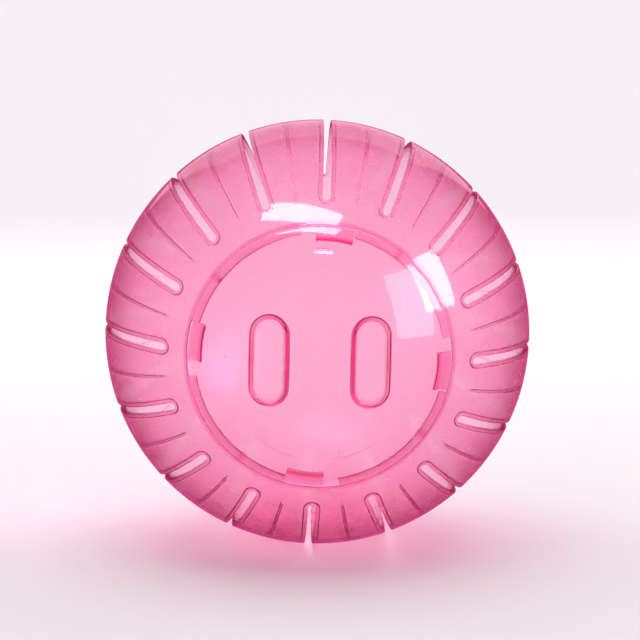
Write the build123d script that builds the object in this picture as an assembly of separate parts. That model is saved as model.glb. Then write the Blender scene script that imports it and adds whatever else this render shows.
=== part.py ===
from build123d import *
import math
import os

# A hamster ball: two slotted half shells and a round door that locks with a short bayonet twist.
# Lengths are in millimetres and angles in degrees. The origin is the ball's centre, +Z is up and
# the door faces -Y. Each piece is drawn with the door axis along +Z and "up" along +Y, the way it
# leaves its mould, and is turned into the ball's frame at the end. An azimuth is counted clockwise
# from "up", as seen by someone who looks at the door.

# Ball and wall
BALL_DIAMETER = 178.0
WALL = 1.6
SEAM_GAP = 0.2

# Vent slots, which run from near the door to the parting line in both halves
SLOT_COUNT = 16
SLOT_TURN = 2.7
SLOT_WIDTH = 3.2
SLOT_END_MARGIN = 8.9
LIP_WIDTH = 1.6
LIP_HEIGHT = 0.8

# Tread ribs on the inside of the lands, halfway between the slots
TREAD_WIDTH = 0.9
TREAD_HEIGHT = 0.6
TREAD_END_MARGIN = 9.4

# Tongues of the rear half, which push into the front half beside the lips
TONGUE_COUNT = 8
TONGUE_WIDTH = 8.0
TONGUE_THICKNESS = 1.6
TONGUE_REACH = 7.0
TONGUE_ROOT = 6.0
TONGUE_CLEARANCE = 0.35
TONGUE_LEAD_IN = 0.6

# Door opening of the front half, with its ledge and the collar that carries it
OPENING_DIAMETER = 104.2
COLLAR_WIDTH = 1.2
LEDGE_WIDTH = 3.5
LEDGE_THICKNESS = 1.6
SEAT_CLEARANCE = 0.3

# Door and its bayonet
DOOR_CLEARANCE = 0.3
LUG_COUNT = 4
LUG_TURN = 7.0
LUG_ARC = 17.6
LUG_THICKNESS = 1.8
LUG_SIDE_CLEARANCE = 0.7
LUG_SEAT_CLEARANCE = 0.3
STEM_THICKNESS = 1.6
STEM_CLEARANCE = 1.0
NOTCH_LEAD = 1.0
NOTCH_SPARE = 6.5
LOCK_TURN = 20.0
STOP_ARC = 3.0
STOP_CLEARANCE = 0.6

# Finger wells of the door
WELL_SPACING = 40.0
WELL_TURN = 1.3
WELL_FLOOR_WIDTH = 11.0
WELL_FLOOR_LENGTH = 31.9
WELL_DEPTH = 5.5
WELL_DRAFT = 9.5
WELL_WALL = 1.5

# Marks on the door: a gate ring at its middle, an index mark at its top, two turning arrows below
GATE_RING_RADIUS = 1.6
GATE_RING_WIDTH = 0.5
GATE_RING_DEPTH = 0.3
MARK_HEIGHT = 0.4
INDEX_TURN = 2.0
INDEX_LEAN = 12.0
INDEX_BAR_MARGIN = 9.6
INDEX_BAR_LENGTH = 7.6
INDEX_BAR_WIDTH = 1.1
INDEX_POINT_WIDTH = 4.4
INDEX_POINT_HEIGHT = 2.2
INDEX_POINT_GAP = 0.8
ARROW_DISTANCE = 40.0
ARROW_WIDTH = 0.9
ARROW_ARC = 22.0
ARROW_AZIMUTHS = (158.0, 204.0)
ARROW_HEAD_WIDTH = 3.4
ARROW_HEAD_LENGTH = 3.6

# Radii that follow from the sizes above
OUTER_RADIUS = BALL_DIAMETER / 2
INNER_RADIUS = OUTER_RADIUS - WALL
MID_WALL_RADIUS = OUTER_RADIUS - WALL / 2
SEAM_HEIGHT = SEAM_GAP / 2
OPENING_RADIUS = OPENING_DIAMETER / 2
SLOT_PITCH = 360 / SLOT_COUNT
SLOT_END_CENTRE = OPENING_RADIUS + SLOT_END_MARGIN + SLOT_WIDTH / 2
TREAD_END_DISTANCE = OPENING_RADIUS + TREAD_END_MARGIN
LEDGE_EDGE = OPENING_RADIUS - LEDGE_WIDTH
LEDGE_TOP = INNER_RADIUS - SEAT_CLEARANCE
LEDGE_UNDERSIDE = LEDGE_TOP - LEDGE_THICKNESS
DOOR_RADIUS = OPENING_RADIUS - DOOR_CLEARANCE
INDEX_BAR_DISTANCE = DOOR_RADIUS - INDEX_BAR_MARGIN
LUG_TOP = LEDGE_UNDERSIDE - LUG_SEAT_CLEARANCE
LUG_UNDERSIDE = LUG_TOP - LUG_THICKNESS
LUG_EDGE = OPENING_RADIUS - LUG_SIDE_CLEARANCE
STEM_OUTSIDE = LEDGE_EDGE - STEM_CLEARANCE
STEM_INSIDE = STEM_OUTSIDE - STEM_THICKNESS
LUG_PITCH = 360 / LUG_COUNT


def height_on(radius, distance):
    """Height of a sphere of this radius at a distance from the door axis."""
    return math.sqrt(radius**2 - distance**2)


def slope_on(radius, distance):
    """Angle above the parting plane of the point at that distance from the door axis."""
    return math.degrees(math.acos(distance / radius))


def rising_arc(radius, low_angle, high_angle):
    """Arc about the ball's centre, from a lower to a higher angle above the parting plane."""
    return CenterArc((0, 0), radius, low_angle, high_angle - low_angle)


def turned(edges, arc=360.0, azimuth=0.0):
    """Solid turned about the door axis from a closed outline, centred on an azimuth."""
    outline = Plane.XZ * make_face(edges)
    return Rot(0, 0, 90 - azimuth - arc / 2) * revolve(outline, Axis.Z, arc)


def dome_ring(outer, inner, near, far, arc=360.0, azimuth=0.0):
    """Spherical wall between two distances from the door axis, with straight-drawn edges."""
    edges = [
        rising_arc(outer, slope_on(outer, far), slope_on(outer, near)),
        Line((near, height_on(outer, near)), (near, height_on(inner, near))),
        rising_arc(inner, slope_on(inner, far), slope_on(inner, near)),
        Line((far, height_on(inner, far)), (far, height_on(outer, far))),
    ]
    return turned(edges, arc, azimuth)


def half_dome(outer, inner, near):
    """Spherical wall from a distance off the door axis down to the parting line."""
    outer_low = math.degrees(math.asin(SEAM_HEIGHT / outer))
    inner_low = math.degrees(math.asin(SEAM_HEIGHT / inner))
    outer_rim = (height_on(outer, SEAM_HEIGHT), SEAM_HEIGHT)
    inner_rim = (height_on(inner, SEAM_HEIGHT), SEAM_HEIGHT)
    edges = [
        rising_arc(outer, outer_low, slope_on(outer, near)),
        Line((near, height_on(outer, near)), (near, height_on(inner, near))),
        rising_arc(inner, inner_low, slope_on(inner, near)),
        Line(inner_rim, outer_rim),
    ]
    return turned(edges)


def radial_strips(end_centre, width, turn, rounded):
    """Strips drawn along the door axis, one for each slot, from an end out past the ball."""
    length = BALL_DIAMETER - end_centre
    strip = Pos(end_centre + length / 2, 0) * Rectangle(length, width)
    if rounded:
        strip += Pos(end_centre, 0) * Circle(width / 2)
    strips = [Rot(0, 0, 90 - turn - index * SLOT_PITCH) * strip for index in range(SLOT_COUNT)]
    return extrude(Sketch() + strips, OUTER_RADIUS)


def plain_half(near):
    """Half shell with its lipped slots and tread ribs, open within a distance of the door axis."""
    wall = half_dome(OUTER_RADIUS, INNER_RADIUS, near)
    lip_shell = half_dome(MID_WALL_RADIUS, INNER_RADIUS - LIP_HEIGHT, OPENING_RADIUS)
    lips = lip_shell & radial_strips(SLOT_END_CENTRE, SLOT_WIDTH + 2 * LIP_WIDTH, SLOT_TURN, True)
    tread_shell = half_dome(MID_WALL_RADIUS, INNER_RADIUS - TREAD_HEIGHT, OPENING_RADIUS)
    tread_turn = SLOT_TURN + SLOT_PITCH / 2
    treads = tread_shell & radial_strips(TREAD_END_DISTANCE, TREAD_WIDTH, tread_turn, False)
    slots = radial_strips(SLOT_END_CENTRE, SLOT_WIDTH, SLOT_TURN, True)
    return wall + lips + treads - slots


def gate_ring():
    """Shallow ring groove that the moulding gate leaves at a pole."""
    return dome_ring(
        OUTER_RADIUS + GATE_RING_DEPTH,
        OUTER_RADIUS - GATE_RING_DEPTH,
        GATE_RING_RADIUS - GATE_RING_WIDTH / 2,
        GATE_RING_RADIUS + GATE_RING_WIDTH / 2,
    )


def make_front_half():
    """Front half shell: door opening with collar, notched ledge and twist stops."""
    collar_edge = OPENING_RADIUS + COLLAR_WIDTH
    shell = plain_half(OPENING_RADIUS)
    shell += dome_ring(MID_WALL_RADIUS, LEDGE_UNDERSIDE, OPENING_RADIUS, collar_edge)
    shell += dome_ring(LEDGE_TOP, LEDGE_UNDERSIDE, LEDGE_EDGE, collar_edge)
    notch_arc = NOTCH_SPARE + LUG_ARC + NOTCH_LEAD
    for index in range(LUG_COUNT):
        lug_azimuth = LUG_TURN + index * LUG_PITCH
        notch_azimuth = lug_azimuth + (NOTCH_LEAD - NOTCH_SPARE) / 2
        shell -= dome_ring(
            OUTER_RADIUS, LUG_UNDERSIDE, STEM_OUTSIDE, OPENING_RADIUS, notch_arc, notch_azimuth
        )
        stop_azimuth = lug_azimuth + (LUG_ARC + STOP_ARC) / 2 + LOCK_TURN + STOP_CLEARANCE
        shell += dome_ring(
            LEDGE_TOP, LUG_UNDERSIDE, LEDGE_EDGE, OPENING_RADIUS, STOP_ARC, stop_azimuth
        )
    return shell


def make_rear_half():
    """Rear half shell: closed pole, and tongues that reach past the parting line."""
    shell = mirror(plain_half(0) - gate_ring(), Plane.XY)
    tongue_outside = height_on(INNER_RADIUS, TONGUE_REACH) - TONGUE_CLEARANCE
    tongue_inside = tongue_outside - TONGUE_THICKNESS
    root_outside = INNER_RADIUS + WALL / 4
    corners = [
        (tongue_inside, -TONGUE_ROOT),
        (root_outside, -TONGUE_ROOT),
        (root_outside, -SEAM_HEIGHT),
        (tongue_outside, -SEAM_HEIGHT),
        (tongue_outside, TONGUE_REACH - TONGUE_LEAD_IN),
        (tongue_outside - TONGUE_LEAD_IN, TONGUE_REACH),
        (tongue_inside, TONGUE_REACH),
    ]
    tongue_arc = math.degrees(TONGUE_WIDTH / tongue_outside)
    lip_arc = math.degrees((SLOT_WIDTH / 2 + LIP_WIDTH) / INNER_RADIUS)
    tread_arc = math.degrees(TREAD_WIDTH / 2 / INNER_RADIUS)
    clear_middle = (lip_arc + SLOT_PITCH / 2 - tread_arc) / 2
    for index in range(TONGUE_COUNT):
        slot_index = round(index * SLOT_COUNT / TONGUE_COUNT)
        azimuth = SLOT_TURN + slot_index * SLOT_PITCH + clear_middle
        shell += turned(Polyline(*corners, close=True).edges(), tongue_arc, azimuth)
    return shell


def well_block(side, wall):
    """Drafted oblong block of one finger well, grown by a wall all round and below."""
    surface = height_on(OUTER_RADIUS, WELL_SPACING / 2)
    floor_height = surface - WELL_DEPTH - wall
    rise = OUTER_RADIUS - floor_height
    spread = 2 * rise * math.tan(math.radians(WELL_DRAFT))
    length = WELL_FLOOR_LENGTH + 2 * wall
    width = WELL_FLOOR_WIDTH + 2 * wall
    place = Rot(0, 0, -WELL_TURN) * Pos(side * WELL_SPACING / 2, 0, floor_height)
    floor = SlotOverall(length, width, rotation=90)
    mouth = Pos(0, 0, rise) * SlotOverall(length + spread, width + spread, rotation=90)
    return place * loft([floor, mouth], ruled=True)


def raised_mark(outline):
    """Raised mark on the door's outside, from a flat outline."""
    skin = dome_ring(OUTER_RADIUS + MARK_HEIGHT, MID_WALL_RADIUS, 0, DOOR_RADIUS)
    return skin & extrude(outline, OUTER_RADIUS + MARK_HEIGHT)


def leaning_mark(outline, distance):
    """Raised mark with a flat top that leans outwards, centred at a distance from the door axis."""
    skin = dome_ring(OUTER_RADIUS + MARK_HEIGHT * 2, MID_WALL_RADIUS, 0, DOOR_RADIUS)
    lean = 90 - slope_on(OUTER_RADIUS, distance) + INDEX_LEAN
    place = Pos(0, distance, height_on(OUTER_RADIUS + MARK_HEIGHT, distance)) * Rot(-lean, 0, 0)
    below_top = place * Box(30, 30, 30, align=(Align.CENTER, Align.CENTER, Align.MAX))
    return Rot(0, 0, -INDEX_TURN) * (skin & extrude(outline, OUTER_RADIUS) & below_top)


def index_mark():
    """Bar and pointer at the top of the door, which show how far it is turned."""
    point_base = INDEX_BAR_DISTANCE + INDEX_BAR_WIDTH / 2 + INDEX_POINT_GAP
    bar = Pos(0, INDEX_BAR_DISTANCE) * Rectangle(INDEX_BAR_LENGTH, INDEX_BAR_WIDTH)
    corners = [
        (-INDEX_POINT_WIDTH / 2, point_base),
        (INDEX_POINT_WIDTH / 2, point_base),
        (0, point_base + INDEX_POINT_HEIGHT),
    ]
    pointer = Polygon(*corners, align=None)
    point_middle = point_base + INDEX_POINT_HEIGHT / 2
    return leaning_mark(bar, INDEX_BAR_DISTANCE) + leaning_mark(pointer, point_middle)


def turning_arrow(azimuth):
    """Curved arrow that points clockwise along the door's rim."""
    half_width = ARROW_WIDTH / 2
    shaft = dome_ring(
        OUTER_RADIUS + MARK_HEIGHT,
        MID_WALL_RADIUS,
        ARROW_DISTANCE - half_width,
        ARROW_DISTANCE + half_width,
        ARROW_ARC,
        azimuth,
    )
    corners = [
        (-ARROW_WIDTH / 2, ARROW_DISTANCE - ARROW_HEAD_WIDTH / 2),
        (-ARROW_WIDTH / 2, ARROW_DISTANCE + ARROW_HEAD_WIDTH / 2),
        (ARROW_HEAD_LENGTH, ARROW_DISTANCE),
    ]
    head = raised_mark(Rot(0, 0, -azimuth - ARROW_ARC / 2) * Polygon(*corners, align=None))
    return shaft + head


def make_door():
    """Door: dome that closes the opening, finger wells, bayonet hooks and marks."""
    door = dome_ring(OUTER_RADIUS, INNER_RADIUS, 0, DOOR_RADIUS)
    inside = Sphere(MID_WALL_RADIUS)
    for side in (-1, 1):
        door += well_block(side, WELL_WALL) & inside
    for side in (-1, 1):
        door -= well_block(side, 0)
    for index in range(LUG_COUNT):
        azimuth = LUG_TURN + index * LUG_PITCH
        door += dome_ring(MID_WALL_RADIUS, LUG_UNDERSIDE, STEM_INSIDE, STEM_OUTSIDE, LUG_ARC, azimuth)
        door += dome_ring(LUG_TOP, LUG_UNDERSIDE, STEM_INSIDE, LUG_EDGE, LUG_ARC, azimuth)
    door += index_mark()
    for azimuth in ARROW_AZIMUTHS:
        door += turning_arrow(azimuth)
    return door - gate_ring()


def in_ball_frame(shape):
    """Turns a piece from its mould's axis to the ball's frame, with the door facing -Y."""
    return Rot(90, 0, 0) * shape


os.makedirs("parts", exist_ok=True)
export_step(in_ball_frame(make_front_half()), "parts/front_half_shell.step")
export_step(in_ball_frame(make_rear_half()), "parts/rear_half_shell.step")
export_step(in_ball_frame(make_door()), "parts/door.step")
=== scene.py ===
"""Looks of a translucent hamster ball: two slotted half shells and a bayonet door, on a pale floor.

Shapes are drawn in millimetres in the ball's frame. The origin is the ball's centre, +Z is up and
the door faces -Y. Each shape is first laid out in plan as the door's mould sees it: "lateral" is to
the right, "out" is up, and "axial" is towards the viewer. An azimuth is clockwise from up.
"""

import logging
import math
from collections.abc import Sequence
from dataclasses import dataclass, replace
from enum import Enum

import bmesh
import bpy
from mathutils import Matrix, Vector

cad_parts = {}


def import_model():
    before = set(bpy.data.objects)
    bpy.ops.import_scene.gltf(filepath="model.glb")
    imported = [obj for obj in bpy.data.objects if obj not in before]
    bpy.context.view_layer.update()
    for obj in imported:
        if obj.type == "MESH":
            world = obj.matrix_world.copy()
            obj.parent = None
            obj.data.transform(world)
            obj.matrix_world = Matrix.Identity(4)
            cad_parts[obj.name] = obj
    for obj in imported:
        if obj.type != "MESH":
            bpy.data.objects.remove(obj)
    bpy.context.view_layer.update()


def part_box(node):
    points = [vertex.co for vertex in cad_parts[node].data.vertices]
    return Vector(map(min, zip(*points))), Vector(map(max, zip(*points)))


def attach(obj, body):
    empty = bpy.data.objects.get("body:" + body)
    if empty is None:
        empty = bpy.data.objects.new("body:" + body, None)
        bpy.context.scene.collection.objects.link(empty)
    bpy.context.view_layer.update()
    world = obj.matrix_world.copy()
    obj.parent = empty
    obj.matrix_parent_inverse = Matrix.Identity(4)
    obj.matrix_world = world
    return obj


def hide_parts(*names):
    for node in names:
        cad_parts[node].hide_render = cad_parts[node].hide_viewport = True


log = logging.getLogger("hamster_ball")

MILLIMETRE = 0.001

Section = tuple[float, float]
Plan = tuple[float, float]
Colour = tuple[float, float, float]
Piece = bpy.types.Object
Material = bpy.types.Material
Socket = bpy.types.NodeSocket


@dataclass(frozen=True)
class BallSizes:
    """Sizes of the ball, in millimetres and degrees."""

    outer: float
    wall: float = 1.6
    seam_gap: float = 0.2
    edge_round: float = 0.3
    slot_count: int = 16
    slot_turn: float = 2.7
    slot_width: float = 3.2
    slot_end_margin: float = 8.9
    lip_width: float = 1.6
    lip_height: float = 0.8
    tread_width: float = 0.9
    tread_height: float = 0.6
    tongue_count: int = 8
    tongue_width: float = 8.0
    tongue_thickness: float = 1.6
    tongue_reach: float = 7.0
    tongue_root: float = 6.0
    tongue_clearance: float = 0.35
    tongue_lead_in: float = 0.6
    opening: float = 52.1
    collar_width: float = 1.2
    ledge_width: float = 3.5
    ledge_thickness: float = 1.6
    seat_clearance: float = 0.3
    door_clearance: float = 0.3
    lug_count: int = 4
    lug_turn: float = 7.0
    lug_arc: float = 17.6
    lug_thickness: float = 1.8
    lug_side_clearance: float = 0.7
    lug_seat_clearance: float = 0.3
    stem_thickness: float = 1.6
    stem_clearance: float = 1.0
    notch_lead: float = 1.0
    notch_spare: float = 6.5
    lock_turn: float = 20.0
    stop_arc: float = 3.0
    stop_clearance: float = 0.6
    well_spacing: float = 40.0
    well_turn: float = 1.3
    well_floor_width: float = 11.0
    well_floor_length: float = 31.9
    well_depth: float = 5.5
    well_draft: float = 9.5
    well_wall: float = 1.5
    gate_radius: float = 1.6
    gate_bead: float = 0.3
    mark_height: float = 0.4
    index_turn: float = 2.0
    index_lean: float = 12.0
    index_distance: float = 42.2
    index_length: float = 7.6
    index_width: float = 1.1
    pointer_width: float = 4.4
    pointer_height: float = 2.2
    pointer_gap: float = 0.8
    arrow_distance: float = 40.0
    arrow_width: float = 0.9
    arrow_arc: float = 22.0
    arrow_azimuths: tuple[float, ...] = (158.0, 204.0)
    arrow_head_width: float = 3.4
    arrow_head_length: float = 3.6

    @property
    def inner(self) -> float:
        """Radius of the wall's inside."""
        return self.outer - self.wall

    @property
    def mid_wall(self) -> float:
        """Radius of the middle of the wall."""
        return self.outer - self.wall / 2

    @property
    def lip_radius(self) -> float:
        """Radius of the inside of the slot lips."""
        return self.inner - self.lip_height

    @property
    def slot_pitch(self) -> float:
        """Angle from one slot to the next."""
        return 360.0 / self.slot_count

    @property
    def slot_end_centre(self) -> float:
        """Distance of the centre of a slot's round end from the door axis."""
        return self.opening + self.slot_end_margin + self.slot_width / 2

    @property
    def collar_edge(self) -> float:
        """Distance of the outside of the opening's collar from the door axis."""
        return self.opening + self.collar_width

    @property
    def ledge_edge(self) -> float:
        """Distance of the ledge's free edge from the door axis."""
        return self.opening - self.ledge_width

    @property
    def ledge_top(self) -> float:
        """Radius of the face of the ledge that the door rests over."""
        return self.inner - self.seat_clearance

    @property
    def ledge_underside(self) -> float:
        """Radius of the inside of the ledge."""
        return self.ledge_top - self.ledge_thickness

    @property
    def door_edge(self) -> float:
        """Distance of the door's rim from the door axis."""
        return self.opening - self.door_clearance

    @property
    def lug_top(self) -> float:
        """Radius of the face of a lug that slides under the ledge."""
        return self.ledge_underside - self.lug_seat_clearance

    @property
    def lug_underside(self) -> float:
        """Radius of the inside of a lug."""
        return self.lug_top - self.lug_thickness

    @property
    def lug_edge(self) -> float:
        """Distance of a lug's free edge from the door axis."""
        return self.opening - self.lug_side_clearance

    @property
    def stem_outside(self) -> float:
        """Distance of the outside of a lug's stem from the door axis."""
        return self.ledge_edge - self.stem_clearance

    @property
    def stem_inside(self) -> float:
        """Distance of the inside of a lug's stem from the door axis."""
        return self.stem_outside - self.stem_thickness


@dataclass(frozen=True)
class Fineness:
    """How many steps the meshes take along their curves."""

    side_steps: int = 24
    fan_steps: int = 20
    land_steps: int = 7
    round_steps: int = 3
    cap_rows: int = 14
    well_side_steps: int = 12
    well_end_steps: int = 24
    well_corner: int = 15
    door_land_steps: int = 10
    arc_steps: int = 10
    ring_steps: int = 24
    bead_steps: int = 8

    @property
    def sector_columns(self) -> int:
        """Steps along the edge that a slot's sector shares with the collar or the cap."""
        return self.fan_steps // 2


@dataclass(frozen=True)
class Moulding:
    """A shape that is drawn from the ball's sizes, with the steps of its mesh."""

    sizes: BallSizes
    fineness: Fineness


class Half(Enum):
    """Which half of the ball a shape belongs to; the value is its side of the parting plane."""

    FRONT = 1.0
    REAR = -1.0


class Ledge(Enum):
    """What stands on the inside of the door opening at an azimuth."""

    PLAIN = "plain"
    NOTCH = "notch"
    STOP = "stop"


def ball_point(lateral: float, out: float, axial: float) -> Vector:
    """Puts a point of the mould's plan into the ball's frame.

    Args:
        lateral: distance to the right, as seen from the door side.
        out: distance up, as seen from the door side.
        axial: distance from the parting plane towards the door side.

    Returns:
        The point in millimetres in the ball's frame.
    """
    return Vector((lateral, -axial, out))


def rise_on(radius: float, reach: float) -> float:
    """Finds the height of a sphere over the parting plane.

    Args:
        radius: radius of the sphere.
        reach: distance from the door axis.

    Returns:
        The height, or zero past the sphere's edge.
    """
    return math.sqrt(max(0.0, radius * radius - reach * reach))


def turned_plan(point: Plan, azimuth: float) -> Plan:
    """Turns a plan point clockwise about the door axis.

    Args:
        point: lateral and out distances.
        azimuth: clockwise turn in degrees.

    Returns:
        The turned point.
    """
    angle = math.radians(azimuth)
    lateral, out = point
    return (
        lateral * math.cos(angle) + out * math.sin(angle),
        out * math.cos(angle) - lateral * math.sin(angle),
    )


def round_corner(centre: Section, radius: float, start: float, sweep: float, steps: int) -> list[Section]:
    """Draws an arc of a section.

    Args:
        centre: centre of the arc.
        radius: its radius.
        start: angle of its first point in degrees.
        sweep: angle from the first to the last point, in degrees.
        steps: number of steps along it.

    Returns:
        The points of the arc, both ends included.
    """
    angles = [math.radians(start + sweep * step / steps) for step in range(steps + 1)]
    return [(centre[0] + radius * math.cos(a), centre[1] + radius * math.sin(a)) for a in angles]


def soft_corner(start: Section, corner: Section, end: Section, steps: int) -> list[Section]:
    """Draws a smooth bend that leaves along one line and arrives along another.

    Args:
        start: first point of the bend.
        corner: point where the two lines meet.
        end: last point of the bend.
        steps: number of steps along it.

    Returns:
        The points of the bend, both ends included.
    """
    points = []
    for step in range(steps + 1):
        t = step / steps
        first, middle, last = (1 - t) ** 2, 2 * t * (1 - t), t * t
        points.append(tuple(first * s + middle * c + last * e for s, c, e in zip(start, corner, end)))
    return points


def lifted(section: Sequence[Section], side: float = 1.0) -> list[Section]:
    """Turns the radii of a section into distances from the parting plane.

    Args:
        section: points as distance from the door axis and radius.
        side: side of the parting plane that the section is on.

    Returns:
        Points as distance from the door axis and axial distance.
    """
    return [(reach, side * rise_on(radius, reach)) for reach, radius in section]


def spun(section: Sequence[Section], azimuth: float) -> list[Vector]:
    """Stands a section up at an azimuth.

    Args:
        section: points as distance from the door axis and axial distance.
        azimuth: where it stands, in degrees.

    Returns:
        Its points in millimetres in the ball's frame.
    """
    return [ball_point(*turned_plan((0.0, reach), azimuth), axial) for reach, axial in section]


def eased(share: float) -> float:
    """Eases a share from 0 to 1 with flat ends.

    Args:
        share: share to ease, cut off at 0 and 1.

    Returns:
        The eased share.
    """
    cut = min(1.0, max(0.0, share))
    return cut * cut * (3.0 - 2.0 * cut)


class MeshDraft:
    """Points and faces gathered for one mesh, in millimetres in the ball's frame."""

    def __init__(self) -> None:
        """Starts an empty draft."""
        self.points: list[Vector] = []
        self.faces: list[tuple[int, ...]] = []

    def row(self, points: Sequence[Vector]) -> list[int]:
        """Adds a row of points.

        Args:
            points: the points in order.

        Returns:
            Their numbers in the draft.
        """
        first = len(self.points)
        self.points.extend(points)
        return list(range(first, len(self.points)))

    def bridge(self, rows: Sequence[Sequence[int]], closed: bool = False) -> None:
        """Joins neighbouring rows of equal length with four-sided faces.

        Args:
            rows: the rows of point numbers.
            closed: whether the last row joins the first.
        """
        following = list(rows[1:]) + ([rows[0]] if closed else [])
        for here, there in zip(rows, following):
            for index in range(len(here) - 1):
                self.faces.append((here[index], here[index + 1], there[index + 1], there[index]))

    def cap(self, row: Sequence[int]) -> None:
        """Closes a loop of points with one face.

        Args:
            row: the loop's point numbers.
        """
        self.faces.append(tuple(row))

    def sweep(self, rows: Sequence[Sequence[Vector]]) -> None:
        """Adds a closed solid swept through outlines of equal length, capped at both ends.

        Args:
            rows: the outlines, each a closed loop without its first point repeated.
        """
        numbers = [self.row(points) for points in rows]
        self.bridge([numbers_of + numbers_of[:1] for numbers_of in numbers])
        self.cap(numbers[0])
        self.cap(numbers[-1])

    def build(self, name: str) -> Piece:
        """Makes an object of the draft, in metres, with doubled points merged and faces outward.

        Args:
            name: name of the object and its mesh.

        Returns:
            The object, linked to the scene.
        """
        mesh = bpy.data.meshes.new(name)
        mesh.from_pydata([point * MILLIMETRE for point in self.points], [], self.faces)
        piece = bpy.data.objects.new(name, mesh)
        bpy.context.scene.collection.objects.link(piece)
        Workshop.weld(piece)
        return piece


class Workshop:
    """Mesh operations shared by the pieces."""

    WELD_DISTANCE = 0.000004
    SHARP_ANGLE = 38.0

    @classmethod
    def weld(cls, piece: Piece, *others: Piece) -> None:
        """Merges doubled points of a piece, after taking in other meshes, and turns its faces outward.

        Args:
            piece: the piece that is kept.
            others: pieces whose meshes join it and which are then removed.
        """
        work = bmesh.new()
        for source in (piece, *others):
            work.from_mesh(source.data)
        bmesh.ops.remove_doubles(work, verts=work.verts, dist=cls.WELD_DISTANCE)
        bmesh.ops.recalc_face_normals(work, faces=work.faces)
        work.to_mesh(piece.data)
        work.free()
        for other in others:
            cls.discard(other)

    @staticmethod
    def discard(piece: Piece) -> None:
        """Removes an object and its mesh.

        Args:
            piece: the object to remove.
        """
        mesh = piece.data
        bpy.data.objects.remove(piece)
        bpy.data.meshes.remove(mesh)

    @staticmethod
    def settle(piece: Piece) -> None:
        """Turns what a piece's modifiers make into its plain mesh.

        Args:
            piece: the piece, whose modifiers are removed.
        """
        bpy.context.view_layer.update()
        graph = bpy.context.evaluated_depsgraph_get()
        mesh = bpy.data.meshes.new_from_object(piece.evaluated_get(graph))
        old = piece.data
        piece.modifiers.clear()
        piece.data = mesh
        mesh.name = piece.name
        bpy.data.meshes.remove(old)

    @classmethod
    def combine(cls, piece: Piece, tool: Piece, operation: str) -> None:
        """Joins a tool to a piece or cuts it from it.

        Args:
            piece: the piece that is changed.
            tool: the shape that is joined or cut, which is then removed.
            operation: "UNION" or "DIFFERENCE".
        """
        modifier = piece.modifiers.new(operation.title(), "BOOLEAN")
        modifier.operation = operation
        modifier.solver = "MANIFOLD"
        modifier.object = tool
        cls.settle(piece)
        cls.discard(tool)

    @classmethod
    def finish(cls, piece: Piece, material: Material) -> None:
        """Gives a piece its material and smooth faces, and reports whether it is closed.

        Args:
            piece: the finished piece.
            material: its one material.
        """
        mesh = piece.data
        mesh.materials.clear()
        mesh.materials.append(material)
        mesh.polygons.foreach_set("use_smooth", [True] * len(mesh.polygons))
        mesh.set_sharp_from_angle(angle=math.radians(cls.SHARP_ANGLE))
        work = bmesh.new()
        work.from_mesh(mesh)
        open_edges = sum(1 for edge in work.edges if len(edge.link_faces) != 2)
        triangles = sum(len(face.verts) - 2 for face in work.faces)
        volume = work.calc_volume(signed=True)
        work.free()
        cubic = volume / MILLIMETRE**3
        log.info("%s: %d triangles, %d open edges, %.1f mm3", piece.name, triangles, open_edges, cubic)


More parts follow.
